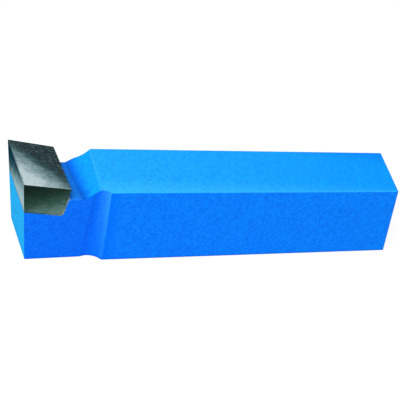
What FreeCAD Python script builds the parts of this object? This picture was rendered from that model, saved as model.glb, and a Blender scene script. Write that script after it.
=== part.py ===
"""Brazed turning tool: a square steel shank with a wide carbide tip across its front end.

Millimetres, +Z up. X runs along the shank, from the cutting edge at -X to the cropped end at +X,
and the origin lies on the base, in the middle of the length and of the width. The near flank
is the one at -Y.
"""
import FreeCAD, Part
import math
import os

from FreeCAD import Vector

# Shank: a square bar, clamped by its base and its top.
OVERALL_LENGTH = 170.0        # from the cutting edge to the middle of the cropped end
SHANK_WIDTH = 32.0
SHANK_HEIGHT = 32.0
BAR_EDGE_RADIUS = 0.5         # rolled radius along the four long edges
END_CHAMFER = 0.4             # broken edge round the cropped end
END_SKEW_ANGLE = 16.0         # the end is off square: longer at the far side
END_LEAN_ANGLE = 7.0          # and longer at the base

# Carbide tip: a rectangular plate that spans the head.
EDGE_RISE = 3.5               # cutting edge above the top of the shank
TIP_LENGTH = 18.5             # from the cutting edge to the plate's back, along the rake face
TIP_THICKNESS = 12.0
TIP_BREAK_RISE = 3.4          # broken lower back edge of the plate: its part of the back
TIP_BREAK_RUN = 1.0           # and its part of the underside

# Braze: a thin seam under and behind the plate, with a small bead along the shelf.
SEAM_THICKNESS = 0.4
SEAT_CORNER_RADIUS = 1.4      # left by the cutter in the inner corner of the seat
BEAD_SIZE = 0.8               # leg of the bead, along the shelf and up the plate
BEAD_SAG = 0.4                # hollow of the bead, as a share of the way to its corner

# Ground angles, in degrees.
RAKE_ANGLE = 8.0              # the rake face falls from the cutting edge towards the shank
FRONT_CLEARANCE_ANGLE = 8.0
FLANK_CLEARANCE_ANGLE = 3.5   # each flank leans in towards the base
FLANK_TRAIL_ANGLE = 1.4       # each flank runs in from the cutting edge towards the neck

# Relief behind the tip: a shelf, then a ramp up to the top of the shank.
SHELF_DEPTH = 5.0             # below the top of the shank, in the middle of the ramp's foot
SHELF_LENGTH = 5.8            # from the seat's back wall to the foot of the ramp
RAMP_ANGLE = 32.0
RELIEF_TILT_ANGLE = 3.6       # shelf and ramp drop together towards the far flank
RAMP_FOOT_RADIUS = 0.5
RAMP_HEAD_RADIUS = 2.5

# Neck: the hollow that the wheel leaves at the rear of each ground flank.
NECK_RADIUS = 6.0
NECK_HOLLOW_DEPTH = 0.6       # below the flank
NECK_DISTANCE = 29.7          # from the cutting edge to the hollow's deepest line

# How far a cutting body reaches past the stock.
OVERCUT = 6.0

EDGE_X = -OVERALL_LENGTH / 2
END_X = OVERALL_LENGTH / 2
EDGE_Z = SHANK_HEIGHT + EDGE_RISE
HALF_WIDTH = SHANK_WIDTH / 2
SHELF_HEIGHT = SHANK_HEIGHT - SHELF_DEPTH
SEAT_WALL = TIP_LENGTH + SEAM_THICKNESS
SEAT_FLOOR = TIP_THICKNESS + SEAM_THICKNESS

ACROSS = Vector(0, 1, 0)
ALONG = Vector(1, 0, 0)
UP = Vector(0, 0, 1)


def sine(angle):
    """Sine of an angle in degrees."""
    return math.sin(math.radians(angle))


def cosine(angle):
    """Cosine of an angle in degrees."""
    return math.cos(math.radians(angle))


def tangent(angle):
    """Tangent of an angle in degrees."""
    return math.tan(math.radians(angle))


def rake_point(back, down):
    """Point of the side view, from the cutting edge back along the rake face and down square to it."""
    x = EDGE_X + back * cosine(RAKE_ANGLE) - down * sine(RAKE_ANGLE)
    z = EDGE_Z - back * sine(RAKE_ANGLE) - down * cosine(RAKE_ANGLE)
    return Vector(x, 0, z)


def front_at(down):
    """How far back along the rake face the front clearance plane lies, at a depth below it."""
    return down * tangent(RAKE_ANGLE + FRONT_CLEARANCE_ANGLE)


def lines(points):
    """Straight edges from each point to the next."""
    return [Part.LineSegment(a, b).toShape() for a, b in zip(points, points[1:])]


def across(edges):
    """Prism of a closed side view, through the bar and past both its sides."""
    face = Part.Face(Part.Wire(edges))
    reach = HALF_WIDTH + OVERCUT
    prism = face.extrude(ACROSS * (2 * reach))
    prism.translate(ACROSS * -reach)
    return prism


def runs_along(edge, direction):
    """Whether an edge is straight and parallel to a direction."""
    if not isinstance(edge.Curve, Part.Line):
        return False
    return abs(edge.tangentAt(edge.FirstParameter).dot(direction)) > 0.999


def block():
    """Plain block round the whole bar, past its cropped end."""
    spare = HALF_WIDTH * tangent(END_SKEW_ANGLE) + SHANK_HEIGHT * tangent(END_LEAN_ANGLE) + OVERCUT
    corner = Vector(EDGE_X, -HALF_WIDTH, 0)
    return Part.makeBox(OVERALL_LENGTH + spare, SHANK_WIDTH, SHANK_HEIGHT, corner)


def end_body():
    """Everything behind the cropped end, turned about the middle of that end."""
    reach = SHANK_WIDTH + SHANK_HEIGHT
    middle = Vector(END_X, 0, SHANK_HEIGHT / 2)
    body = Part.makeBox(reach, 2 * reach, 2 * reach, middle - Vector(0, reach, reach))
    body.rotate(middle, ACROSS, -END_LEAN_ANGLE)
    body.rotate(middle, UP, -END_SKEW_ANGLE)
    return body


def bar():
    """Square bar, cropped off square with a broken edge there, and its long edges rolled round."""
    stock = block().cut(end_body())
    cropped_end = max(stock.Faces, key=lambda face: face.CenterOfMass.x)
    stock = stock.makeChamfer(END_CHAMFER, cropped_end.Edges)
    return stock.makeFillet(BAR_EDGE_RADIUS, [e for e in stock.Edges if runs_along(e, ALONG)])


def plate_outline():
    """Plate's side view, from the cutting edge round by its back to the foot of its front."""
    return [rake_point(0, 0),
            rake_point(TIP_LENGTH, 0),
            rake_point(TIP_LENGTH, TIP_THICKNESS - TIP_BREAK_RISE),
            rake_point(TIP_LENGTH - TIP_BREAK_RUN, TIP_THICKNESS),
            rake_point(front_at(TIP_THICKNESS), TIP_THICKNESS)]


def tip_body():
    """Plate across the head, its front ground to the clearance angle."""
    outline = plate_outline()
    return across(lines(outline + outline[:1]))


def seat_lines():
    """Seat's side view: floor, rounded inner corner and back wall, from ahead of the bar to above it."""
    inset = SEAT_CORNER_RADIUS * (1 - cosine(45))
    floor_end = rake_point(SEAT_WALL - SEAT_CORNER_RADIUS, SEAT_FLOOR)
    corner = rake_point(SEAT_WALL - inset, SEAT_FLOOR - inset)
    wall_start = rake_point(SEAT_WALL, SEAT_FLOOR - SEAT_CORNER_RADIUS)
    corner_arc = Part.Arc(floor_end, corner, wall_start).toShape()
    floor = lines([rake_point(-OVERCUT, SEAT_FLOOR), floor_end])
    return floor + [corner_arc] + lines([wall_start, rake_point(SEAT_WALL, -OVERCUT)])


def seat_body():
    """Milled seat for the plate and its seam, open to the front and above."""
    closing = [rake_point(SEAT_WALL, -OVERCUT), rake_point(-OVERCUT, -OVERCUT),
               rake_point(-OVERCUT, SEAT_FLOOR)]
    return across(seat_lines() + lines(closing))


def seam_body():
    """Layer between the seat and the underside and back of the plate."""
    _, _, back_low, base_back, _ = plate_outline()
    closing = [rake_point(SEAT_WALL, -OVERCUT), rake_point(TIP_LENGTH, -OVERCUT), back_low,
               base_back, rake_point(-OVERCUT, TIP_THICKNESS), rake_point(-OVERCUT, SEAT_FLOOR)]
    return across(seat_lines() + lines(closing))


def seat_wall_x(height):
    """X of the seat's back wall at a height above the base."""
    down = (EDGE_Z - height - SEAT_WALL * sine(RAKE_ANGLE)) / cosine(RAKE_ANGLE)
    return rake_point(SEAT_WALL, down).x


RAMP_FOOT = Vector(seat_wall_x(SHELF_HEIGHT) + SHELF_LENGTH, 0, SHELF_HEIGHT)


def tilt_relief(shape):
    """Drop a body towards the far flank, about the middle of the ramp's foot."""
    shape.rotate(RAMP_FOOT, ALONG, -RELIEF_TILT_ANGLE)
    return shape


def relief_body():
    """Everything above the shelf and ahead of the ramp."""
    rise = EDGE_Z + OVERCUT - SHELF_HEIGHT
    ramp_top = RAMP_FOOT + Vector(rise / tangent(RAMP_ANGLE), 0, rise)
    front = Vector(EDGE_X - OVERCUT, 0, SHELF_HEIGHT)
    body = across(lines([RAMP_FOOT, ramp_top, front + UP * rise, front, RAMP_FOOT]))
    foot_edges = [e for e in body.Edges if runs_along(e, ACROSS) and on_foot(e)]
    return tilt_relief(body.makeFillet(RAMP_FOOT_RADIUS, foot_edges))


def on_foot(edge):
    """Whether an edge across the bar passes through the ramp's foot."""
    middle = edge.CenterOfMass
    return math.hypot(middle.x - RAMP_FOOT.x, middle.z - RAMP_FOOT.z) < 1e-6


def relieved_block(relief):
    """Block with its relief cut and the head of the ramp rounded over."""
    body = block().cut(relief)
    top = max(body.Faces, key=lambda face: face.CenterOfMass.z)
    ramp_head = min(top.Edges, key=lambda edge: edge.CenterOfMass.x)
    return body.makeFillet(RAMP_HEAD_RADIUS, [ramp_head])


def front_body():
    """Everything ahead of the front clearance plane."""
    low = Vector(EDGE_X + (EDGE_Z + OVERCUT) * tangent(FRONT_CLEARANCE_ANGLE), 0, -OVERCUT)
    high = Vector(EDGE_X - OVERCUT * tangent(FRONT_CLEARANCE_ANGLE), 0, EDGE_Z + OVERCUT)
    ahead = EDGE_X - 2 * OVERCUT
    return across(lines([low, high, Vector(ahead, 0, high.z), Vector(ahead, 0, low.z), low]))


def near_flank_bodies():
    """Everything outside the near flank, and the wheel's round at its rear end.

    Both are laid out from the near end of the cutting edge, on an upright flank, and then turned
    to the clearance and trail angles about that point.
    """
    corner = Vector(EDGE_X, -HALF_WIDTH, EDGE_Z)
    low = -EDGE_Z - OVERCUT
    height = OVERCUT - low
    outside = Part.makeBox(NECK_DISTANCE + OVERCUT, HALF_WIDTH, height, Vector(-OVERCUT, -HALF_WIDTH, low))
    wheel_foot = Vector(NECK_DISTANCE, NECK_HOLLOW_DEPTH - NECK_RADIUS, low)
    wheel = Part.makeCylinder(NECK_RADIUS, height, wheel_foot, UP)
    for shape in (outside, wheel):
        shape.rotate(Vector(0, 0, 0), ALONG, FLANK_CLEARANCE_ANGLE)
        shape.rotate(Vector(0, 0, 0), UP, FLANK_TRAIL_ANGLE)
        shape.translate(corner)
    return [outside, wheel]


def grinding_bodies():
    """All that is ground away from the head, steel, plate and braze together."""
    near = near_flank_bodies()
    far = [shape.mirror(Vector(0, 0, 0), ACROSS) for shape in near]
    return [front_body()] + near + far


def bead_body():
    """Concave bead of braze in the corner between the shelf and the plate's back."""
    foot = Vector(seat_wall_x(SHELF_HEIGHT), 0, SHELF_HEIGHT)
    toe = foot + ALONG * BEAD_SIZE
    crest_height = SHELF_HEIGHT + BEAD_SIZE
    crest = Vector(seat_wall_x(crest_height) - SEAM_THICKNESS, 0, crest_height)
    middle = (toe + crest) * 0.5
    hollow = middle + (foot - middle) * BEAD_SAG
    inside = foot - ALONG * OVERCUT
    arc = Part.Arc(toe, hollow, crest).toShape()
    return tilt_relief(across([arc] + lines([crest, inside + UP * BEAD_SIZE, inside, toe])))


def solid_of(shape):
    """The single solid of a finished piece."""
    clean = shape.removeSplitter()
    assert len(clean.Solids) == 1 and clean.isValid(), "a piece isn't one sound solid"
    return clean.Solids[0]


def build():
    """Every piece of the tool, by the name of its node."""
    relief = relief_body()
    seat = seat_body()
    ground = grinding_bodies()
    tip = tip_body().cut(ground)
    shank = bar().common(relieved_block(relief)).cut([seat] + ground)
    bead = bead_body().cut(tip_body())
    braze = seam_body().cut(relief).fuse(bead).cut(ground)
    return {"shank": solid_of(shank), "carbide_tip": solid_of(tip), "braze_seam": solid_of(braze)}


def main():
    """Write one STEP file for each piece and print its volume and size."""
    os.makedirs("parts", exist_ok=True)
    for node, shape in build().items():
        shape.exportStep(f"parts/{node}.step")
        box = shape.optimalBoundingBox(False, False)
        print(f"{node}: {shape.Volume:.1f} cubic mm, {len(shape.Faces)} faces,"
              f" {box.XLength:.2f} by {box.YLength:.2f} by {box.ZLength:.2f} mm")


main()
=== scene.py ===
import logging
import math
from dataclasses import dataclass, field
from enum import Enum
from typing import Any, Callable, Sequence, Union

import bmesh
import bpy
from mathutils import Matrix, Vector


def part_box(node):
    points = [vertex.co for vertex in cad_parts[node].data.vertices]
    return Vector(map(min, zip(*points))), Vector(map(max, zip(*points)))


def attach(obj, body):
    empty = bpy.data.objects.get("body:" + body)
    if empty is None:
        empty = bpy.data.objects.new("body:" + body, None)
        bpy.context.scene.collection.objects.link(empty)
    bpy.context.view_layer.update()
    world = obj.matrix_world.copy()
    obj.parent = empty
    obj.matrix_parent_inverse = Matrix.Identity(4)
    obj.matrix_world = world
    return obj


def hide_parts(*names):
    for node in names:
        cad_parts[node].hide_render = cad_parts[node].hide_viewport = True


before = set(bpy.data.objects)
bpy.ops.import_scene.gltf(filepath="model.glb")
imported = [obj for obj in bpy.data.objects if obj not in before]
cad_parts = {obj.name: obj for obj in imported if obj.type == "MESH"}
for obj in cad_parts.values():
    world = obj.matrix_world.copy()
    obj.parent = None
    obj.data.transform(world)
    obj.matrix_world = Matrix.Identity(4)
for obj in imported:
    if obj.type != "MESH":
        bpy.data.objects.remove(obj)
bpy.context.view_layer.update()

LOG = logging.getLogger("turning_tool")
WHOLE_BODY = "root"
WORN = "worn"

MM = 0.001

Triple = tuple[float, float, float]
Colour = Triple
Run = tuple[float, float]
Tones = tuple[tuple[float, Colour], ...]

# What a cloud's noise is on average.
MEAN = 0.5
WHITE: Colour = (1.0, 1.0, 1.0)
EVEN: Triple = (1.0, 1.0, 1.0)


class Slot(Enum):
    """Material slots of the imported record."""

    PAINT = "shank_paint"
    CARBIDE = "ground_carbide"
    BRAZE = "braze"


class Side(Enum):
    """Sides of the carbide plate, each with a finish of its own."""

    RAKE = 0
    FRONT = 1
    FLANK = 2
    SEATED = 3


class Coat(Enum):
    """Coats of the same enamel, by the side of the shank that each is on, each painted lighter or
    darker for how light falls on that side.
    """

    SIDES = 0
    TOP = 1
    RAMP = 2
    HEAD_END = 3
    HEAD_FLANK = 4
    SHELF = 5
    NECK = 6
    UPPER_EDGE = 7
    LOWER_EDGE = 8
    CROPPED = 9


class Value:
    """A shader socket that adds Math nodes when it stands in an expression."""

    def __init__(self, tree: "NodeTree", socket: bpy.types.NodeSocket) -> None:
        """Wrap a socket.

        Args:
            tree: The tree that the socket's node is in.
            socket: The output to read from.
        """
        self.tree = tree
        self.socket = socket

    def _maths(self, operation: str, first: "Operand", second: "Operand") -> "Value":
        """Result of one Math node.

        Args:
            operation: The node's operation.
            first: Its first value.
            second: Its second value.

        Returns:
            The node's output.
        """
        settings = {"operation": operation}
        return self.tree.node("ShaderNodeMath", settings, {0: first, 1: second})["Value"]

    def __add__(self, other: "Operand") -> "Value":
        """Sum."""
        return self._maths("ADD", self, other)

    def __radd__(self, other: "Operand") -> "Value":
        """Sum, the other way round."""
        return self._maths("ADD", other, self)

    def __sub__(self, other: "Operand") -> "Value":
        """Difference."""
        return self._maths("SUBTRACT", self, other)

    def __rsub__(self, other: "Operand") -> "Value":
        """Difference, the other way round."""
        return self._maths("SUBTRACT", other, self)

    def __mul__(self, other: "Operand") -> "Value":
        """Product."""
        return self._maths("MULTIPLY", self, other)

    def __rmul__(self, other: "Operand") -> "Value":
        """Product, the other way round."""
        return self._maths("MULTIPLY", other, self)

    def larger(self, other: "Operand") -> "Value":
        """The larger of two values."""
        return self._maths("MAXIMUM", self, other)

    def fall(self, start: float, end: float) -> "Value":
        """One below a start, easing down to nothing at an end.

        Args:
            start: Where it begins to fall.
            end: Where it has gone.

        Returns:
            A value from nothing to one.
        """
        return self.tree.node(
            "ShaderNodeMapRange",
            {"interpolation_type": "SMOOTHSTEP", "clamp": True},
            {"Value": self, "From Min": start, "From Max": end, "To Min": 1.0, "To Max": 0.0},
        )["Result"]


Operand = Union[Value, float]


class NodeOutputs:
    """Outputs of a shader node, by name or identifier."""

    def __init__(self, tree: "NodeTree", node: bpy.types.Node) -> None:
        """Wrap a node.

        Args:
            tree: The tree that the node is in.
            node: The node to read from.
        """
        self.tree = tree
        self.node = node

    def __getitem__(self, key: Union[int, str]) -> Value:
        """One output, as a value."""
        return Value(self.tree, find_socket(self.node.outputs, key))


def find_socket(
    sockets: bpy.types.bpy_prop_collection, key: Union[int, str]
) -> bpy.types.NodeSocket:
    """Socket of a node by its place, its identifier or its name.

    Args:
        sockets: The node's inputs or outputs.
        key: Place, identifier or name.

    Returns:
        The socket.
    """
    if isinstance(key, str):
        for socket in sockets:
            if socket.identifier == key:
                return socket
    return sockets[key]


class NodeTree:
    """Node tree that is built from values and expressions."""

    def __init__(self, tree: bpy.types.NodeTree) -> None:
        """Start with an empty tree.

        Args:
            tree: The tree of a material or a world.
        """
        self.tree = tree
        tree.nodes.clear()

    def node(
        self, kind: str, settings: dict[str, Any], inputs: dict[Union[int, str], Any]
    ) -> NodeOutputs:
        """Add a node.

        Args:
            kind: The node's type.
            settings: Properties, and a ramp's stops as (place, colour), set before the inputs.
            inputs: Values or links of its sockets, by place, identifier or name.

        Returns:
            The node's outputs.
        """
        node = self.tree.nodes.new(kind)
        for name, setting in settings.items():
            if name == "stops":
                self._set_stops(node.color_ramp, setting)
            else:
                setattr(node, name, setting)
        for key, value in inputs.items():
            socket = find_socket(node.inputs, key)
            if isinstance(value, Value):
                self.tree.links.new(value.socket, socket)
            elif socket.type == "RGBA" and len(value) == 3:
                socket.default_value = (*value, 1.0)
            else:
                socket.default_value = value
        return NodeOutputs(self, node)

    @staticmethod
    def _set_stops(ramp: bpy.types.ColorRamp, stops: Tones) -> None:
        """Give a colour ramp its stops.

        Args:
            ramp: The ramp, with the two stops it starts with.
            stops: Places and colours, in order.
        """
        while len(ramp.elements) < len(stops):
            ramp.elements.new(1.0)
        for element, (place, colour) in zip(ramp.elements, stops):
            element.position = place
            element.color = (*colour, 1.0)

    def seen(self) -> Value:
        """Build the mask of rays that look straight at it, from the camera, a mirror or glass.

        Returns:
            One for those rays, and nothing for the light that it gives.
        """
        path = self.node("ShaderNodeLightPath", {}, {})
        mirrored = path["Is Camera Ray"].larger(path["Is Glossy Ray"])
        return mirrored.larger(path["Is Transmission Ray"])


class Shader(NodeTree):
    """Node tree of one material."""

    def __init__(self, name: str) -> None:
        """Start an empty material.

        Args:
            name: The material's name.
        """
        self.material = bpy.data.materials.new(name)
        self.material.use_nodes = True
        super().__init__(self.material.node_tree)

    def place(self) -> Value:
        """Object coordinates, which are metres in the part's own frame."""
        return self.node("ShaderNodeTexCoord", {}, {})["Object"]

    def along(self, origin: Sequence[float], direction: Sequence[float]) -> Value:
        """How far a point lies from an origin along a direction, in lengths of that direction.

        Args:
            origin: Where it is nothing.
            direction: Where it is one, as seen from the origin.

        Returns:
            The share of the way.
        """
        way = Vector(direction)
        step = self.node(
            "ShaderNodeVectorMath",
            {"operation": "SUBTRACT"},
            {0: self.place(), 1: tuple(origin)},
        )
        return self.node(
            "ShaderNodeVectorMath",
            {"operation": "DOT_PRODUCT"},
            {0: step["Vector"], 1: tuple(way / way.length_squared)},
        )["Value"]

    def cloud(
        self,
        grain: float,
        stretch: Triple = EVEN,
        turn: float = 0.0,
        detail: float = 2.0,
        seed: float = 0.0,
    ) -> Value:
        """Soft noise round a half.

        Args:
            grain: Size of a patch in metres.
            stretch: How much longer a patch is along each axis.
            turn: Turn of those axes about the upright one, in radians.
            detail: Octaves of finer noise.
            seed: Shift that makes one cloud differ from another.

        Returns:
            A value round a half.
        """
        mapped = self.node(
            "ShaderNodeMapping",
            {"vector_type": "TEXTURE"},
            {
                "Vector": self.place(),
                "Location": (seed, seed, seed),
                "Rotation": (0.0, 0.0, turn),
                "Scale": stretch,
            },
        )
        return self.node(
            "ShaderNodeTexNoise",
            {},
            {"Vector": mapped["Vector"], "Scale": 1.0 / grain, "Detail": detail},
        )["Fac"]

    def toned(self, place: Value, tones: Tones) -> Value:
        """Colour that runs through a row of tones.

        Args:
            place: Place on the row.
            tones: Places and colours, in order.

        Returns:
            The colour.
        """
        return self.node("ShaderNodeValToRGB", {"stops": tones}, {"Fac": place})["Color"]

    def mix(
        self, share: Operand, first: Union[Value, Colour], second: Union[Value, Colour]
    ) -> Value:
        """Blend of two colours.

        Args:
            share: Share of the second.
            first: The colour at nothing.
            second: The colour at one.

        Returns:
            The blend.
        """
        settings = {"data_type": "RGBA", "blend_type": "MIX", "clamp_factor": True}
        inputs = {"Factor_Float": share, "A_Color": first, "B_Color": second}
        return self.node("ShaderNodeMix", settings, inputs)["Result_Color"]

    def worn(self) -> Value:
        """How near a point is to the crest of an eased edge."""
        return self.node("ShaderNodeAttribute", {"attribute_name": WORN}, {})["Fac"]

    def raised(self, height: Value, depth: float, under: Union[Value, None] = None) -> Value:
        """Normal over a relief.

        Args:
            height: The relief, from nothing to one.
            depth: What one stands for, in metres.
            under: A coarser relief's normal, if there is one.

        Returns:
            The normal.
        """
        inputs: dict[Union[int, str], Any] = {"Height": height, "Distance": depth, "Strength": 1.0}
        if under is not None:
            inputs["Normal"] = under
        return self.node("ShaderNodeBump", {}, inputs)["Normal"]

    def surface(self, sockets: dict[Union[int, str], Any]) -> bpy.types.Material:
        """Close the tree with a Principled surface.

        Args:
            sockets: Values and links of the shader's sockets.

        Returns:
            The finished material.
        """
        closed = self.node("ShaderNodeBsdfPrincipled", {}, sockets)["BSDF"]
        self.node("ShaderNodeOutputMaterial", {}, {"Surface": closed})
        return self.material


@dataclass(frozen=True)
class Band:
    """Band of painted shade or of painted highlight over a coat, which fades out along a way in
    millimetres.
    """

    origin: Triple
    way: Triple
    colour: Colour
    share: float
    patchy: float = 0.0
    patch_size: float = 1.8 * MM

    def over(self, shader: Shader, colour: Value) -> Value:
        """Lay the band over a colour.

        Args:
            shader: The paint's shader.
            colour: The coat's colour.

        Returns:
            The colour with the band.
        """
        along = shader.along(Vector(self.origin) * MM, Vector(self.way) * MM)
        if self.patchy:
            patch = shader.cloud(self.patch_size, detail=3.0, seed=0.35)
            along = along + (patch - MEAN) * self.patchy
        return shader.mix(along.fall(0.0, 1.0) * self.share, colour, self.colour)


@dataclass(frozen=True)
class SprayedPaint:
    """Blue enamel sprayed over the shank, a little mottled, with painted light running from front
    to rear, and lighter on its eased edges from wear and from a painted highlight.
    """

    name: str
    front: Colour
    rear: Colour
    front_x: float = -54 * MM
    rear_x: float = 85 * MM
    spread: float = 0.20
    mottle_size: float = 1.7 * MM
    mottle_share: float = 1.1
    grain_size: float = 0.65 * MM
    grain_share: float = 2.3
    # Lighter enamel on the eased edges: partly worn enamel, partly a painted highlight.
    thin_paint_and_highlight: Colour = (0.02, 0.40, 1.0)
    edge_light_least: float = 0.1
    edge_light_grain: float = 0.7
    peel_size: float = 1.1 * MM
    peel_depth: float = 0.012 * MM
    sag_size: float = 7 * MM
    sag_depth: float = 0.05 * MM
    roughness: float = 0.5
    rough_swing: float = 0.18
    sheen: float = 0.012
    bands: tuple[Band, ...] = ()

    def mottled(self, shader: Shader, share: Value, colour: Colour) -> Value:
        """Enamel of one colour, between a darker and a lighter shade of it.

        Args:
            shader: The paint's shader.
            share: Share of the lighter shade.
            colour: The enamel's colour.

        Returns:
            The mottled colour.
        """
        darker = tuple(part * (1 - self.spread) for part in colour)
        lighter = tuple(min(part * (1 + self.spread), 1.0) for part in colour)
        return shader.mix(share, darker, lighter)

    def cover(self, shader: Shader, colour: Value) -> Value:
        """Bands of painted shade and painted highlight over the plain enamel.

        Args:
            shader: The paint's shader.
            colour: The enamel's colour.

        Returns:
            The colour with those bands.
        """
        for band in self.bands:
            colour = band.over(shader, colour)
        return colour

    def relief(self, shader: Shader) -> Value:
        """Orange peel over a slow sag of the coat.

        Args:
            shader: The paint's shader.

        Returns:
            The normal.
        """
        sag = shader.raised(shader.cloud(self.sag_size, seed=0.77), self.sag_depth)
        peel = shader.cloud(self.peel_size, detail=1.0, seed=0.12)
        return shader.raised(peel, self.peel_depth, sag)

    def material(self) -> bpy.types.Material:
        """Build the paint.

        Returns:
            The material.
        """
        shader = Shader(self.name)
        mottle = shader.cloud(self.mottle_size, detail=2.0)
        grain = shader.cloud(self.grain_size, detail=1.0, seed=0.31)
        share = MEAN + (mottle - MEAN) * self.mottle_share + (grain - MEAN) * self.grain_share
        # The front and rear tones paint how the light changes along the shank.
        way = shader.along((self.front_x, 0, 0), (self.rear_x - self.front_x, 0, 0))
        front = self.mottled(shader, share, self.front)
        rear = self.mottled(shader, share, self.rear)
        colour = self.cover(shader, shader.mix(way, front, rear))
        # Eased edges are lighter, from worn enamel and from a painted highlight.
        lightening = shader.worn() * (self.edge_light_least + grain * self.edge_light_grain)
        return shader.surface({
            "Base Color": shader.mix(lightening, colour, self.thin_paint_and_highlight),
            "Roughness": self.roughness + (grain - MEAN) * self.rough_swing,
            "Specular IOR Level": self.sheen,
            "Normal": self.relief(shader),
        })


@dataclass(frozen=True)
class RampPaint(SprayedPaint):
    """The same enamel on the ramp, with painted shade at its foot and a painted highlight over its
    head.
    """

    foot: Vector = Vector((-61.3, 0, 27.0)) * MM
    climb: Vector = Vector((8.0, 0, 5.0)) * MM
    head: Vector = Vector((-53.3, 0, 32.0)) * MM
    head_way: Vector = Vector((1.0, -0.1, 0.0)) * MM
    patch_size: float = 2.5 * MM
    # Painted shade at the ramp's foot, darkest in its crease, and a painted highlight over its
    # head.
    foot_shade_colour: Colour = (0.001, 0.105, 0.56)
    foot_shade_run: Run = (0.02, 0.60)
    foot_shade_ragged: float = 0.3
    crease_shade: Colour = (0.002, 0.050, 0.26)
    crease_shade_run: Run = (-0.02, 0.04)
    crease_shade_share: float = 0.45
    painted_highlight: Colour = (0.028, 0.32, 1.0)
    highlight_least: float = 0.1
    highlight_patch: float = 0.8
    crest_rise: Run = (-0.9, 0.1)
    crest_run: Run = (0.2, 1.0)

    def cover(self, shader: Shader, colour: Value) -> Value:
        """Paint shade towards the ramp's foot and a highlight over the ramp's head.

        Args:
            shader: The paint's shader.
            colour: The enamel's colour.

        Returns:
            The colour with both.
        """
        up = shader.along(self.foot, self.climb)
        patch = shader.cloud(self.patch_size, detail=3.0, seed=0.55)
        # Painted shade at the foot with a darker painted crease shade, then a painted highlight
        # over the head.
        foot_shade = (up + (patch - MEAN) * self.foot_shade_ragged).fall(*self.foot_shade_run)
        crease_shade = up.fall(*self.crease_shade_run) * self.crease_shade_share
        shaded = shader.mix(crease_shade, shader.mix(foot_shade, colour, self.foot_shade_colour), self.crease_shade)
        beyond = shader.along(self.head, self.head_way)
        crest = (1.0 - beyond.fall(*self.crest_rise)) * beyond.fall(*self.crest_run)
        lightening = crest * (self.highlight_least + patch * self.highlight_patch)
        return super().cover(shader, shader.mix(lightening, shaded, self.painted_highlight))


@dataclass(frozen=True)
class NeckPaint(SprayedPaint):
    """The same enamel in the neck's hollow, with a painted highlight towards the hollow's rear
    edge.
    """

    rear_edge: Vector = Vector((-49.8, 0, 0)) * MM
    lean: Vector = Vector((1.0, 0, 0.044)) * MM
    painted_highlight: Colour = (0.028, 0.30, 1.0)
    low: float = 4 * MM
    high: float = 30 * MM
    wide_rise: Run = (-4.8, -1.0)
    wide_share: float = 0.42
    crest_rise: Run = (-1.6, -0.3)
    crest_share: float = 0.24

    def cover(self, shader: Shader, colour: Value) -> Value:
        """Paint a highlight towards the hollow's rear edge, most of all near the top.

        Args:
            shader: The paint's shader.
            colour: The enamel's colour.

        Returns:
            The colour with its painted light streak.
        """
        across = shader.along(self.rear_edge, self.lean)
        # Painted highlight streak along the hollow's rear edge, wider near the top.
        wide = 1.0 - across.fall(*self.wide_rise)
        crest = 1.0 - across.fall(*self.crest_rise)
        height = shader.along((0, 0, self.low), (0, 0, self.high - self.low)).larger(0.0)
        share = wide * height * self.wide_share + crest * self.crest_share
        return super().cover(shader, shader.mix(share, colour, self.painted_highlight))


@dataclass(frozen=True)
class CroppedPaint(SprayedPaint):
    """The same enamel over the marks that the shears left on the cropped end."""

    mark_size: float = 0.6 * MM
    mark_stretch: Triple = (1.0, 1.0, 16.0)
    mark_depth: float = 0.22 * MM

    def relief(self, shader: Shader) -> Value:
        """Upright shear marks under the coat.

        Args:
            shader: The paint's shader.

        Returns:
            The normal.
        """
        marks = shader.cloud(self.mark_size, self.mark_stretch, detail=3.0, seed=0.66)
        return shader.raised(marks, self.mark_depth)


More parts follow.
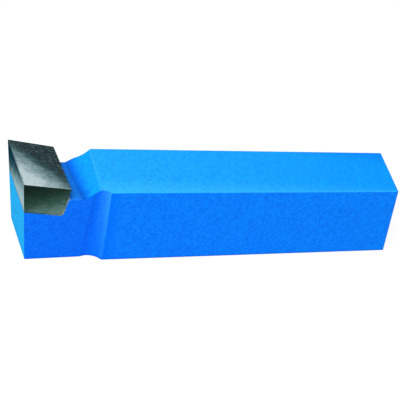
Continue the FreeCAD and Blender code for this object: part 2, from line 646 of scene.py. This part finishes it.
@dataclass(frozen=True)
class RakeGrind:
    """Top of the plate, with a painted reflection: bright along two edges, dark and scaly towards
    the far back corner.
    """

    origin: Vector
    back: Vector
    over: Vector
    name: str = "ground_rake_face"
    # Tones of the painted reflection, from its brightest to its darkest.
    tones: Tones = (
        (0.0, (0.53, 0.645, 0.67)),
        (0.25, (0.46, 0.575, 0.605)),
        (0.36, (0.285, 0.39, 0.42)),
        (0.46, (0.165, 0.26, 0.275)),
        (0.6, (0.032, 0.074, 0.081)),
        (0.69, (0.005, 0.020, 0.024)),
        (0.8, (0.001, 0.006, 0.008)),
    )
    reach: float = 1.6
    back_slope: float = 0.87
    over_slope: float = 0.95
    over_bend: float = 0.22
    twist: float = 0.12
    turn: float = math.radians(-30)
    patch_size: float = 2.6 * MM
    patch_stretch: Triple = (1.3, 1.0, 1.0)
    patch_share: float = 0.40
    speck_size: float = 0.9 * MM
    speck_stretch: Triple = (1.5, 1.0, 1.0)
    speck_share: float = 0.34
    bright_run: Run = (0.4, 1.15)
    fleck: Colour = (0.036, 0.088, 0.095)
    fleck_share: float = 3.8
    dull: Colour = (0.060, 0.115, 0.125)
    pit_size: float = 0.6 * MM
    pit_stretch: Triple = (1.0, 1.6, 1.0)
    pit_share: float = 1.9
    pit_relief: float = 1.1
    edge: Colour = (0.02, 0.04, 0.045)
    edge_share: float = 0.8
    rim_run: Run = (0.0, 0.05)
    rim_least: float = 0.25
    rim_ragged: float = 3.0
    rim_level: float = 0.42
    line_size: float = 0.16 * MM
    line_stretch: Triple = (14.0, 1.0, 1.0)
    line_turn: float = math.radians(24)
    line_depth: float = 0.006 * MM
    metal: float = 0.12
    metal_swing: float = 0.83
    gloss: float = 0.03
    roughness: float = 0.38
    rough_swing: float = 0.16

    def reflection_falloff(self, shader: Shader, patch: Value, speck: Value) -> Value:
        """How far a point is from the painted bright reflection, towards the painted dark corner.

        Args:
            shader: The finish's shader.
            patch: Coarse noise.
            speck: Fine noise.

        Returns:
            Nothing at the near front corner, and the reach at the darkest.
        """
        back = shader.along(self.origin, self.back)
        over = shader.along(self.origin, self.over)
        far = over * (self.over_slope + over * self.over_bend)
        far = far + back * (self.back_slope + over * self.twist)
        speckled = (speck - MEAN) * over.larger(back) * self.speck_share
        return far + (patch - MEAN) * self.patch_share + speckled

    def rim(self, shader: Shader, speck: Value) -> Value:
        """Dark, ragged rim along the cutting edge, and the crests of the eased edges.

        Args:
            shader: The finish's shader.
            speck: Fine noise.

        Returns:
            Share of the rim's colour.
        """
        front = shader.along(self.origin, self.back).fall(*self.rim_run)
        rim = front * (self.rim_least + (speck - self.rim_level) * self.rim_ragged)
        return shader.worn().larger(rim) * self.edge_share

    def material(self) -> bpy.types.Material:
        """Build the finish.

        Returns:
            The material.
        """
        shader = Shader(self.name)
        patch = shader.cloud(self.patch_size, self.patch_stretch, self.turn, detail=4.0)
        speck = shader.cloud(self.speck_size, self.speck_stretch, self.turn, 4.0, seed=0.4)
        pit = shader.cloud(self.pit_size, self.pit_stretch, self.turn, detail=3.0, seed=0.8)
        lines = shader.cloud(self.line_size, self.line_stretch, self.line_turn, detail=1.0)
        # Place on the painted reflection, from bright to dark.
        far = self.reflection_falloff(shader, patch, speck)
        bright = far.fall(*self.bright_run)
        high_speck = (speck - MEAN).larger(0.0)
        high_pit = (pit - MEAN).larger(0.0)
        scaly = (1.0 - bright) * high_speck * self.fleck_share
        pitted = high_pit * (self.pit_share - bright * self.pit_relief) + bright * high_speck
        colour = shader.toned(far * (1.0 / self.reach), self.tones)
        colour = shader.mix(scaly, colour, self.fleck)
        colour = shader.mix(pitted, colour, self.dull)
        return shader.surface({
            "Base Color": shader.mix(self.rim(shader, speck), colour, self.edge),
            "Metallic": self.metal + bright * self.metal_swing,
            "Specular IOR Level": self.gloss,
            "Roughness": self.roughness + speck * self.rough_swing,
            "Normal": shader.raised(lines + patch, self.line_depth),
        })


@dataclass(frozen=True)
class FlankGrind:
    """Ground side of the plate, its tone running from one corner to the other."""

    name: str
    origin: Vector
    way: Vector
    tones: Tones
    stretch: Triple = EVEN
    patch_size: float = 3.0 * MM
    patch_share: float = 0.26
    speck_size: float = 0.6 * MM
    speck_share: float = 0.286
    line_size: float = 0.16 * MM
    line_stretch: float = 6.0
    line_depth: float = 0.006 * MM
    metal: float = 0.5
    metal_run: Run = (0.2, 1.0)
    gloss: float = 0.04
    roughness: float = 0.42
    rough_swing: float = 0.16

    def material(self) -> bpy.types.Material:
        """Build the finish.

        Returns:
            The material.
        """
        shader = Shader(self.name)
        way = shader.along(self.origin, self.way)
        patch = shader.cloud(self.patch_size, detail=4.0, seed=0.9)
        speck = shader.cloud(self.speck_size, self.stretch, detail=2.0, seed=0.2)
        drawn = tuple(self.line_stretch * part for part in self.stretch)
        lines = shader.cloud(self.line_size, drawn, detail=1.0)
        share = way + (patch - MEAN) * self.patch_share + (speck - MEAN) * self.speck_share
        return shader.surface({
            "Base Color": shader.toned(share, self.tones),
            "Metallic": (1.0 - share.fall(*self.metal_run)) * self.metal,
            "Specular IOR Level": self.gloss,
            "Roughness": self.roughness + speck * self.rough_swing,
            "Normal": shader.raised(lines + patch, self.line_depth),
        })


@dataclass(frozen=True)
class BrazeMetal:
    """Dull brass of the seam: blackened by flux under the plate, cleaner at its back."""

    name: str = "stained_braze"
    clean: Colour = (0.21, 0.30, 0.22)
    stained: Colour = (0.03, 0.07, 0.065)
    front: Vector = Vector((-74.0, 0, 0)) * MM
    run: Vector = Vector((6.0, 0, 0)) * MM
    run_share: float = 0.7
    stain_size: float = 2.4 * MM
    stain_level: float = 0.42
    stain_share: float = 2.4
    pit_size: float = 0.5 * MM
    pit_depth: float = 0.03 * MM
    metal: float = 0.4
    gloss: float = 0.2
    roughness: float = 0.45
    rough_swing: float = 0.25

    def material(self) -> bpy.types.Material:
        """Build the finish.

        Returns:
            The material.
        """
        shader = Shader(self.name)
        stain = shader.cloud(self.stain_size, detail=4.0)
        pit = shader.cloud(self.pit_size, detail=2.0, seed=0.6)
        way = shader.along(self.front, self.run)
        share = way * self.run_share + (stain - self.stain_level) * self.stain_share
        return shader.surface({
            "Base Color": shader.mix(share, self.stained, self.clean),
            "Metallic": self.metal,
            "Specular IOR Level": self.gloss,
            "Roughness": self.roughness + pit * self.rough_swing,
            "Normal": shader.raised(pit, self.pit_depth),
        })


@dataclass
class EasedSolid:
    """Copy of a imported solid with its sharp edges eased, which stands for that solid."""

    node: str
    name: str
    slot: Slot
    ease: float = 0.2 * MM
    segments: int = 2
    crisp_angle: float = math.radians(24)
    weld: float = 0.002 * MM
    flat_angle: float = math.radians(0.4)
    flat_weight: int = 80

    def mesh(self, side_of: Callable[[bmesh.types.BMFace], int]) -> bmesh.types.BMesh:
        """Join the solid's triangles into faces and ease its sharp edges.

        Args:
            side_of: Gives the place of a face's finish among the piece's materials.

        Returns:
            The eased shape.
        """
        shape = bmesh.new()
        shape.from_mesh(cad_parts[self.node].data)
        bmesh.ops.remove_doubles(shape, verts=shape.verts, dist=self.weld)
        bmesh.ops.dissolve_limit(
            shape, angle_limit=self.flat_angle, verts=shape.verts, edges=shape.edges
        )
        shape.normal_update()
        for face in shape.faces:
            face.smooth = True
            face.material_index = side_of(face)
        closed = [edge for edge in shape.edges if len(edge.link_faces) == 2]
        crisp = [edge for edge in closed if edge.calc_face_angle() > self.crisp_angle]
        eased = bmesh.ops.bevel(
            shape, geom=crisp, offset=self.ease, offset_type="OFFSET", segments=self.segments,
            profile=0.5, affect="EDGES", material=-1, clamp_overlap=True, loop_slide=True,
        )
        strips = set(eased["faces"])
        worn = shape.verts.layers.float.new(WORN)
        for vert in shape.verts:
            vert[worn] = 1.0 if all(face in strips for face in vert.link_faces) else 0.0
        return shape

    def finish(self, shape: bmesh.types.BMesh, finishes: Sequence[Any]) -> bpy.types.Object:
        """Make the object and dress it.

        Args:
            shape: The eased shape, which is freed.
            finishes: One finish for each place among the materials.

        Returns:
            The piece, riding in place of its solid.
        """
        data = bpy.data.meshes.new(self.name)
        shape.to_mesh(data)
        shape.free()
        for finish in finishes:
            data.materials.append(finish.material())
        piece = bpy.data.objects.new(self.name, data)
        bpy.context.scene.collection.objects.link(piece)
        weighted = piece.modifiers.new("even_normals", "WEIGHTED_NORMAL")
        weighted.mode = "FACE_AREA"
        weighted.weight = self.flat_weight
        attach(piece, WHOLE_BODY)
        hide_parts(self.node)
        return piece


@dataclass
class Shank:
    """Painted steel shank with its ground head."""

    solid: EasedSolid = field(
        default_factory=lambda: EasedSolid("shank", "painted_shank", Slot.PAINT, 0.25 * MM)
    )
    shelf_front_x: float = -66.5 * MM
    shelf_rear_x: float = -61.5 * MM
    neck_front_x: float = -58.1 * MM
    neck_rear_x: float = -49.7 * MM
    ramp_x: float = -50.5 * MM
    relief_z: float = 30 * MM
    square_on: float = 0.75
    oblique: float = 0.2
    ramp_lean: float = 0.1

    def coat_of(self, face: bmesh.types.BMFace) -> int:
        """Which coat of paint a face has.

        Args:
            face: A face of the shank.

        Returns:
            The place of its finish.
        """
        middle = face.calc_center_median()
        normal = face.normal
        if normal.x < -self.square_on and middle.x < self.neck_front_x:
            return Coat.HEAD_END.value
        if normal.x > self.square_on:
            return Coat.CROPPED.value
        if normal.z > self.square_on:
            if middle.x > self.ramp_x:
                return Coat.TOP.value
            climbing = normal.x < -self.ramp_lean
            on_ramp = climbing or middle.z > self.relief_z
            return Coat.RAMP.value if on_ramp else Coat.SHELF.value
        if self.neck_front_x < middle.x < self.neck_rear_x and abs(normal.y) > self.oblique:
            return Coat.NECK.value
        if middle.x < self.neck_front_x and abs(normal.y) > self.square_on:
            return Coat.HEAD_FLANK.value
        if normal.z > self.oblique:
            return Coat.UPPER_EDGE.value
        return Coat.LOWER_EDGE.value if abs(normal.z) > self.oblique else Coat.SIDES.value

    def coats(self) -> list[SprayedPaint]:
        """Coats of paint, in the order of Coat.

        Returns:
            The finishes.
        """
        # Each side's enamel is painted lit or shaded for how light falls on it: the top and the
        # head's end are painted lighter; the head's flank, the shelf and the lower edges are
        # painted darker; the upper edges carry a painted highlight. Each front and rear pair
        # paints how the light changes along the shank.
        top_front: Colour = (0.009, 0.256, 1.0)
        top_rear: Colour = (0.0, 0.219, 1.0)
        side_front: Colour = (0.003, 0.180, 0.96)
        side_rear: Colour = (0.003, 0.203, 1.0)
        ramp: Colour = (0.003, 0.236, 1.0)
        head_end: Colour = (0.022, 0.405, 0.85)
        head_flank: Colour = (0.003, 0.149, 0.93)
        shelf_front: Colour = (0.007, 0.145, 0.50)
        shelf_rear: Colour = (0.004, 0.130, 0.56)
        neck: Colour = (0.003, 0.148, 1.0)
        upper_edge: Colour = (0.018, 0.32, 1.0)
        lower_edge: Colour = (0.0, 0.135, 0.80)
        # Bands of painted light. Painted shade falls beside the neck, along the foot of the sides,
        # at the far rear corner of the top, in the ramp's corner, at the foot of the ramp and of
        # the shelf, and on the shelf behind the plate with a ragged edge. Painted highlight runs
        # along the near edge of the top and at the shelf's near end.
        beside_neck_shade = Band((-50.0, 0, 0), (6.0, 0, 0.26), (0.0, 0.148, 0.90), 0.7)
        foot = Band((0, 0, 0.35), (0, 0, 0.7), (0.0, 0.115, 0.74), 0.8)
        near_edge_highlight = Band((-50.0, -16.0, 0), (0.65, 12.0, 0), (0.035, 0.36, 1.0), 0.42)
        far_corner_shade = Band((85.0, 16.0, 0), (-3.1, -13.3, 0), (0.0, 0.170, 1.0), 0.9)
        shelf_end_light = Band((0, -16.0, 0), (0, 9.0, 0), (0.012, 0.190, 0.84), 0.55)
        corner = Band((-61.6, -16.0, 27.0), (2.1, 0.9, 0), (0.001, 0.070, 0.48), 0.75)
        ramp_foot_shade = Band((-61.6, -16.0, 0), (3.94, 0.49, 0), (0.002, 0.035, 0.20), 0.42)
        shelf_foot_shade = Band((-61.4, -16.0, 0), (-2.19, 0.15, 0), (0.002, 0.035, 0.20), 0.42)
        plate_shade = Band((-67.2, -3.0, 27.0), (1.8, -0.2, 0), (0.018, 0.085, 0.15), 0.5, patchy=0.8)
        return [
            SprayedPaint("enamel_sides", side_front, side_rear, bands=(beside_neck_shade, foot)),
            SprayedPaint("enamel_top", top_front, top_rear, bands=(near_edge_highlight, far_corner_shade)),
            RampPaint("enamel_ramp", ramp, ramp, bands=(corner, ramp_foot_shade)),
            SprayedPaint("enamel_head_end", head_end, head_end, sheen=0.0),
            SprayedPaint("enamel_head_flank", head_flank, head_flank, bands=(foot,)),
            SprayedPaint(
                "enamel_shelf", shelf_front, shelf_rear, front_x=self.shelf_front_x,
                rear_x=self.shelf_rear_x, bands=(plate_shade, shelf_end_light, shelf_foot_shade),
            ),
            NeckPaint("enamel_neck", neck, neck, bands=(foot,)),
            SprayedPaint("enamel_upper_edge", upper_edge, upper_edge),
            SprayedPaint("enamel_lower_edge", lower_edge, lower_edge),
            CroppedPaint(
                "enamel_cropped_end", side_rear, side_rear, spread=0.24, bands=(foot,)
            ),
        ]

    def build(self) -> list[bpy.types.Object]:
        """Build the shank.

        Returns:
            Its pieces.
        """
        shape = self.solid.mesh(self.coat_of)
        return [self.solid.finish(shape, self.coats())]


@dataclass
class CarbideTip:
    """Carbide plate across the head, ground on its top, front and two ends."""

    solid: EasedSolid = field(
        default_factory=lambda: EasedSolid("carbide_tip", "carbide_plate", Slot.CARBIDE, 0.14 * MM)
    )
    rake_angle: float = math.radians(8)
    length: float = 18.5 * MM
    thickness: float = 12 * MM
    square_on: float = 0.9
    front_slope: float = 0.6
    # Tones of a painted reflection and shade on the front, dark at its far top and lighter towards
    # its near bottom.
    front_tones: Tones = (
        (0.2, (0.002, 0.027, 0.045)),
        (0.35, (0.005, 0.042, 0.064)),
        (0.46, (0.022, 0.075, 0.092)),
        (0.54, (0.072, 0.144, 0.160)),
        (0.66, (0.158, 0.277, 0.30)),
        (0.77, (0.25, 0.385, 0.43)),
        (0.9, (0.31, 0.45, 0.50)),
    )
    # The flank's tones are a painted reflection and shade, darkest at its top front and lighter
    # towards its back and bottom.
    flank_back_slope: float = 0.45
    flank_down_slope: float = 0.68
    flank_tones: Tones = (
        (0.2, (0.004, 0.015, 0.011)),
        (0.4, (0.008, 0.026, 0.019)),
        (0.55, (0.015, 0.048, 0.036)),
        (0.7, (0.032, 0.079, 0.061)),
        (0.85, (0.075, 0.157, 0.135)),
        (1.0, (0.115, 0.201, 0.177)),
    )
    seated_tones: Tones = ((0.0, (0.05, 0.06, 0.05)), (1.0, (0.12, 0.14, 0.12)))

    @staticmethod
    def steepest(slope: Vector) -> Vector:
        """Way from nothing to one for a tone that grows by a slope.

        Args:
            slope: Growth of the tone along each axis.

        Returns:
            The way.
        """
        return slope / slope.length_squared

    def side_of(self, face: bmesh.types.BMFace) -> int:
        """Which side of the plate a face is.

        Args:
            face: A face of the plate.

        Returns:
            The place of its finish.
        """
        if face.normal.z > self.square_on:
            return Side.RAKE.value
        if face.normal.x < -self.square_on:
            return Side.FRONT.value
        if abs(face.normal.y) > self.square_on:
            return Side.FLANK.value
        return Side.SEATED.value

    def finishes(self) -> list[Any]:
        """Finishes of the plate's sides, in the order of Side.

        Returns:
            The finishes.
        """
        low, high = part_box(self.solid.node)
        size = high - low
        near_top = Vector((low.x, low.y, high.z))
        far_top = Vector((low.x, high.y, high.z))
        near_low = Vector((low.x, low.y, low.z))
        sine, cosine = math.sin(self.rake_angle), math.cos(self.rake_angle)
        across = Vector((0, -1.0, 0)) / size.y
        back = Vector((cosine, 0, -sine)) / self.length
        down = Vector((-sine, 0, -cosine)) / self.thickness
        rake = RakeGrind(near_top, Vector((size.x, 0, 0)), Vector((0, size.y, 0)))
        # The front's and the flank's tone runs are painted reflection and shade.
        front = FlankGrind(
            "ground_front", far_top, self.steepest(self.front_slope * (across + down)),
            self.front_tones, stretch=(1.0, 1.0, 3.0), metal=0.2, gloss=0.0,
        )
        lit = self.flank_back_slope * back + self.flank_down_slope * down
        flank = FlankGrind(
            "ground_flank", near_top, self.steepest(lit), self.flank_tones,
            stretch=(3.0, 1.0, 1.0),
        )
        seated = FlankGrind(
            "seated_carbide", near_low, Vector((size.x, 0, size.z)), self.seated_tones
        )
        return [rake, front, flank, seated]

    def build(self) -> list[bpy.types.Object]:
        """Build the plate.

        Returns:
            Its pieces.
        """
        shape = self.solid.mesh(self.side_of)
        return [self.solid.finish(shape, self.finishes())]


@dataclass
class BrazeSeam:
    """Seam of braze under and behind the plate, with its bead on the shelf."""

    solid: EasedSolid = field(
        default_factory=lambda: EasedSolid("braze_seam", "brass_seam", Slot.BRAZE, 0.05 * MM)
    )
    metal: BrazeMetal = BrazeMetal()

    def build(self) -> list[bpy.types.Object]:
        """Build the seam.

        Returns:
            Its pieces.
        """
        shape = self.solid.mesh(lambda face: 0)
        return [self.solid.finish(shape, [self.metal])]


@dataclass
class Studio:
    """Pale floor, soft lamp and even surroundings."""

    floor_half: float = 3.0
    pale: Colour = (0.95, 0.95, 0.95)
    bounce: Colour = (0.46, 0.46, 0.46)
    shown: float = 0.86
    surroundings: float = 0.69
    lamp_place: Vector = field(default_factory=lambda: Vector((-0.47, -0.36, 0.80)))
    lamp_size: float = 0.55
    lamp_power: float = 11.2

    def floor(self) -> bpy.types.Object:
        """Floor that looks white and throws little light back.

        Returns:
            The floor.
        """
        shader = Shader("studio_floor")
        seen = shader.seen()
        tone = shader.mix(seen, self.bounce, self.pale)
        matt = shader.node("ShaderNodeBsdfDiffuse", {}, {"Color": tone})["BSDF"]
        glow = shader.node("ShaderNodeEmission", {}, {"Color": WHITE, "Strength": 1.0})["Emission"]
        both = {0: seen * self.shown, 1: matt, 2: glow}
        surface = shader.node("ShaderNodeMixShader", {}, both)["Shader"]
        shader.node("ShaderNodeOutputMaterial", {}, {"Surface": surface})
        shape = bmesh.new()
        bmesh.ops.create_grid(shape, x_segments=1, y_segments=1, size=self.floor_half)
        data = bpy.data.meshes.new("studio_floor")
        shape.to_mesh(data)
        shape.free()
        data.materials.append(shader.material)
        floor = bpy.data.objects.new("studio_floor", data)
        bpy.context.scene.collection.objects.link(floor)
        return floor

    def lamp(self) -> bpy.types.Object:
        """Large soft lamp above the head's side.

        Returns:
            The lamp.
        """
        light = bpy.data.lights.new("soft_lamp", "AREA")
        light.shape = "SQUARE"
        light.size = self.lamp_size
        light.energy = self.lamp_power
        lamp = bpy.data.objects.new("soft_lamp", light)
        turn = (-self.lamp_place).to_track_quat("-Z", "Y").to_matrix().to_4x4()
        lamp.matrix_world = Matrix.Translation(self.lamp_place) @ turn
        bpy.context.scene.collection.objects.link(lamp)
        return lamp

    def world(self) -> None:
        """Even surroundings, shown white behind the floor."""
        world = bpy.data.worlds.new("studio_world")
        world.use_nodes = True
        tree = NodeTree(world.node_tree)
        strength = self.surroundings + tree.seen() * (1.0 - self.surroundings)
        sky = tree.node("ShaderNodeBackground", {}, {"Color": WHITE, "Strength": strength})
        tree.node("ShaderNodeOutputWorld", {}, {"Surface": sky["Background"]})
        bpy.context.scene.world = world

    def build(self) -> None:
        """Build the stage."""
        self.floor()
        self.lamp()
        self.world()


@dataclass
class PhotoCamera:
    """Camera at the photograph's place and angle."""

    place: Vector = field(default_factory=lambda: Vector((-161.95, -296.03, 219.12)) * MM)
    view: Vector = field(default_factory=lambda: Vector((0.39967, 0.75747, -0.51624)))
    up: Vector = field(default_factory=lambda: Vector((0.00771, 0.56038, 0.8282)))
    focal_pixels: float = 940.0
    frame_pixels: float = 400.0
    sensor: float = 36.0
    nearest: float = 0.01

    def build(self) -> bpy.types.Object:
        """Build the camera and make it the scene's.

        Returns:
            The camera.
        """
        data = bpy.data.cameras.new("photo_camera")
        data.sensor_width = self.sensor
        data.lens = self.focal_pixels / self.frame_pixels * self.sensor
        data.clip_start = self.nearest
        camera = bpy.data.objects.new("photo_camera", data)
        right = self.view.cross(self.up).normalized()
        up = right.cross(self.view).normalized()
        turn = Matrix((right, up, -self.view.normalized())).transposed().to_4x4()
        camera.matrix_world = Matrix.Translation(self.place) @ turn
        bpy.context.scene.collection.objects.link(camera)
        bpy.context.scene.camera = camera
        return camera


def main() -> None:
    """Build the tool and its stage."""
    logging.basicConfig(level=logging.INFO, format="%(name)s: %(message)s")
    PhotoCamera().build()
    for part in (Shank(), CarbideTip(), BrazeSeam()):
        for piece in part.build():
            LOG.info("%s: %d faces", piece.name, len(piece.data.polygons))
    Studio().build()
    bpy.context.scene.view_settings.view_transform = "Standard"


if __name__ == "__main__":
    main()
